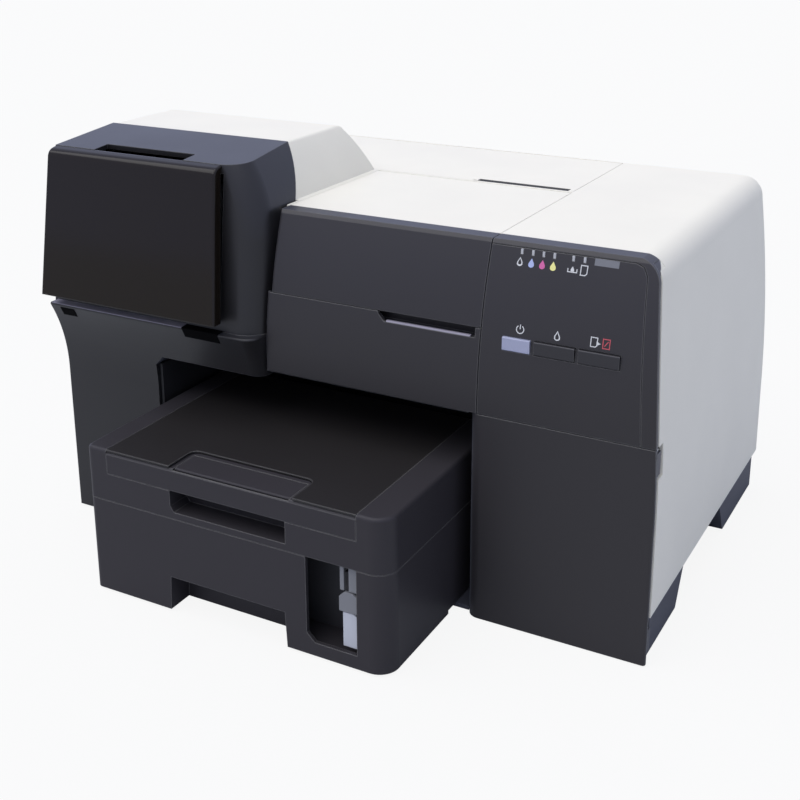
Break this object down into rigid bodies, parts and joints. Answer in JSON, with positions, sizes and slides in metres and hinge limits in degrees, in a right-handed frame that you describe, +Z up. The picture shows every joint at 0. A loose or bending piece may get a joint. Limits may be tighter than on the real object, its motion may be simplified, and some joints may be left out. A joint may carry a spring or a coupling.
{
  "type": "office inkjet printer",
  "caption": "Desktop office inkjet printer with a front paper cassette, an ink tower with a hinged door, a leaning control panel, an opening lid and a white shell",
  "frame": {"origin": "middle of the whole printer's footprint, on the desk", "axes": "+Z up, +X towards the printer's right side as its user sees it from the front, +Y from the front to the rear"},
  "size_m": [0.478, 0.39, 0.3055],
  "materials": {
    "white_shell": "fine moulded texture, off-white",
    "base_grey": "moulded, dark grey",
    "rubber": "matt black",
    "charcoal": "fine moulded texture, satin charcoal",
    "smoked_gloss": "smoked, nearly black, glossy",
    "silver_button": "pale silver lacquer",
    "lens": "clear light pipes",
    "circuit_green": "green solder mask",
    "inner_grey": "plain moulded dark grey",
    "ink_case": "smooth black cartridge case",
    "steel": "zinc-plated steel",
    "pale_plastic": "natural acetal, pale grey",
    "roller_rubber": "ground rubber sleeves",
    "brass": "turned brass",
    "film": "clear polyester strip with a fine line scale"
  },
  "bodies": {
    "printer": {"upper_case": "white_shell", "lower_case": "base_grey", "rubber_feet": "rubber", "lower_panel": "charcoal", "front_frame": "charcoal", "control_panel": "charcoal", "ink_housing": "charcoal", "indicator_lenses": "lens", "button_board": "circuit_green", "main_board": "circuit_green", "cartridge_tray": "inner_grey", "service_cover_pins": "steel", "left_plate": "steel", "right_plate": "steel", "rear_frame": "steel", "guide_rail": "steel", "platen": "inner_grey", "feed_motor": "steel", "carriage_belt": "rubber", "carriage_motor": "steel", "encoder_strip": "film", "power_supply": "inner_grey", "power_inlet": "inner_grey", "port_block": "steel", "waste_ink_box": "inner_grey", "cap_unit": "inner_grey", "rear_unit": "inner_grey", "rear_hopper": "inner_grey", "ink_cartridges": "ink_case", "bay_liner": "inner_grey"},
    "lid": {"printer_lid": "white_shell", "visor": "charcoal"},
    "rear_tray_lid": {"rear_tray_lid": "white_shell"},
    "ink_door": {"ink_door": "smoked_gloss"},
    "service_cover": {"service_cover": "charcoal"},
    "cassette": {"cassette_tray": "charcoal", "cassette_cover": "charcoal", "retard_pad": "rubber", "lift_brackets": "inner_grey"},
    "output_slide": {"output_slide": "charcoal"},
    "paper_stop": {"paper_stop": "charcoal"},
    "side_guide_left": {"side_guide_left": "pale_plastic"},
    "side_guide_right": {"side_guide_right": "pale_plastic"},
    "guide_pinion": {"guide_pinion": "pale_plastic"},
    "end_guide": {"end_guide": "pale_plastic"},
    "lift_plate": {"lift_plate": "inner_grey"},
    "power_button": {"power_button": "silver_button"},
    "ink_button": {"ink_button": "charcoal"},
    "paper_button": {"paper_button": "charcoal"},
    "carriage": {"carriage": "inner_grey", "print_head": "inner_grey"},
    "idler_pulley": {"idler_pulley": "pale_plastic"},
    "drive_pulley": {"drive_pulley": "pale_plastic"},
    "feed_roller": {"feed_roller": "roller_rubber", "feed_gear": "pale_plastic"},
    "motor_pinion": {"motor_pinion": "brass"},
    "exit_roller": {"exit_roller": "roller_rubber"},
    "pickup_roller": {"pickup_roller": "roller_rubber"},
    "turn_roller": {"turn_roller": "roller_rubber"},
    "rear_edge_guide": {"rear_edge_guide": "pale_plastic"}
  },
  "joints": [
    {"name": "lid_hinge", "type": "hinge", "parent": "printer", "child": "lid", "pos_m": [0, 0.0593, 0.2663], "axis": [-1, 0, 0], "range_deg": [0, 78]},
    {"name": "rear_tray_lid_hinge", "type": "hinge", "parent": "printer", "child": "rear_tray_lid", "pos_m": [0, 0.176, 0.2665], "axis": [-1, 0, 0], "range_deg": [0, 100]},
    {"name": "ink_door_hinge", "type": "hinge", "parent": "printer", "child": "ink_door", "pos_m": [0, -0.1165, 0.192], "axis": [1, 0, 0], "range_deg": [0, 95]},
    {"name": "service_cover_hinge", "type": "hinge", "parent": "printer", "child": "service_cover", "pos_m": [0.2354, -0.095, 0], "axis": [0, 0, 1], "range_deg": [0, 90]},
    {"name": "cassette_slide", "type": "slide", "parent": "printer", "child": "cassette", "axis": [0, -1, 0], "range_m": [0, 0.25]},
    {"name": "output_slide_travel", "type": "slide", "parent": "cassette", "child": "output_slide", "axis": [0, -1, 0], "range_m": [0, 0.11]},
    {"name": "paper_stop_hinge", "type": "hinge", "parent": "output_slide", "child": "paper_stop", "pos_m": [0, -0.1904, 0.1094], "axis": [1, 0, 0], "range_deg": [0, 95]},
    {"name": "side_guide_left_travel", "type": "slide", "parent": "cassette", "child": "side_guide_left", "axis": [1, 0, 0], "range_m": [0, 0.034]},
    {"name": "side_guide_right_travel", "type": "slide", "parent": "cassette", "child": "side_guide_right", "axis": [-1, 0, 0], "range_m": [0, 0.034]},
    {"name": "guide_pinion_turn", "type": "hinge", "parent": "cassette", "child": "guide_pinion", "pos_m": [-0.0205, -0.033, 0], "axis": [0, 0, 1], "range_deg": [-1, 218]},
    {"name": "end_guide_travel", "type": "slide", "parent": "cassette", "child": "end_guide", "axis": [0, 1, 0], "range_m": [0, 0.075]},
    {"name": "lift_plate_hinge", "type": "hinge", "parent": "cassette", "child": "lift_plate", "pos_m": [0, -0.011, 0.0121], "axis": [1, 0, 0], "range_deg": [0, 10]},
    {"name": "power_button_press", "type": "slide", "parent": "printer", "child": "power_button", "axis": [0, 1, 0], "range_m": [0, 0.0015], "stiffness_N_per_m": 300},
    {"name": "ink_button_press", "type": "slide", "parent": "printer", "child": "ink_button", "axis": [0, 1, 0], "range_m": [0, 0.0015], "stiffness_N_per_m": 300},
    {"name": "paper_button_press", "type": "slide", "parent": "printer", "child": "paper_button", "axis": [0, 1, 0], "range_m": [0, 0.0015], "stiffness_N_per_m": 300},
    {"name": "carriage_travel", "type": "slide", "parent": "printer", "child": "carriage", "axis": [-1, 0, 0], "range_m": [0, 0.29]},
    {"name": "idler_pulley_turn", "type": "hinge", "parent": "printer", "child": "idler_pulley", "pos_m": [-0.1364, -0.103, 0.216], "axis": [0, 1, 0], "continuous": true},
    {"name": "drive_pulley_turn", "type": "hinge", "parent": "printer", "child": "drive_pulley", "pos_m": [0.212, -0.103, 0.216], "axis": [0, 1, 0], "continuous": true},
    {"name": "feed_roller_turn", "type": "hinge", "parent": "printer", "child": "feed_roller", "pos_m": [0, 0.109, 0.151], "axis": [1, 0, 0], "continuous": true},
    {"name": "motor_pinion_turn", "type": "hinge", "parent": "printer", "child": "motor_pinion", "pos_m": [0, 0.13925, 0.151], "axis": [1, 0, 0], "continuous": true},
    {"name": "exit_roller_turn", "type": "hinge", "parent": "printer", "child": "exit_roller", "pos_m": [0, 0.039, 0.149], "axis": [1, 0, 0], "continuous": true},
    {"name": "pickup_roller_turn", "type": "hinge", "parent": "printer", "child": "pickup_roller", "pos_m": [0, 0.097, 0.087], "axis": [1, 0, 0], "continuous": true},
    {"name": "turn_roller_turn", "type": "hinge", "parent": "printer", "child": "turn_roller", "pos_m": [0, 0.133, 0.112], "axis": [1, 0, 0], "continuous": true},
    {"name": "rear_edge_guide_travel", "type": "slide", "parent": "printer", "child": "rear_edge_guide", "axis": [-1, 0, 0], "range_m": [0, 0.12]}
  ],
  "couplings": [
    {"joint": "side_guide_right_travel", "follows": "side_guide_left_travel", "ratio": 1},
    {"joint": "guide_pinion_turn", "follows": "side_guide_left_travel", "rad_per_m": 111.11},
    {"joint": "idler_pulley_turn", "follows": "carriage_travel", "rad_per_m": 128},
    {"joint": "drive_pulley_turn", "follows": "carriage_travel", "rad_per_m": 128},
    {"joint": "exit_roller_turn", "follows": "feed_roller_turn", "ratio": 1.1667},
    {"joint": "motor_pinion_turn", "follows": "feed_roller_turn", "ratio": -3}
  ]
}
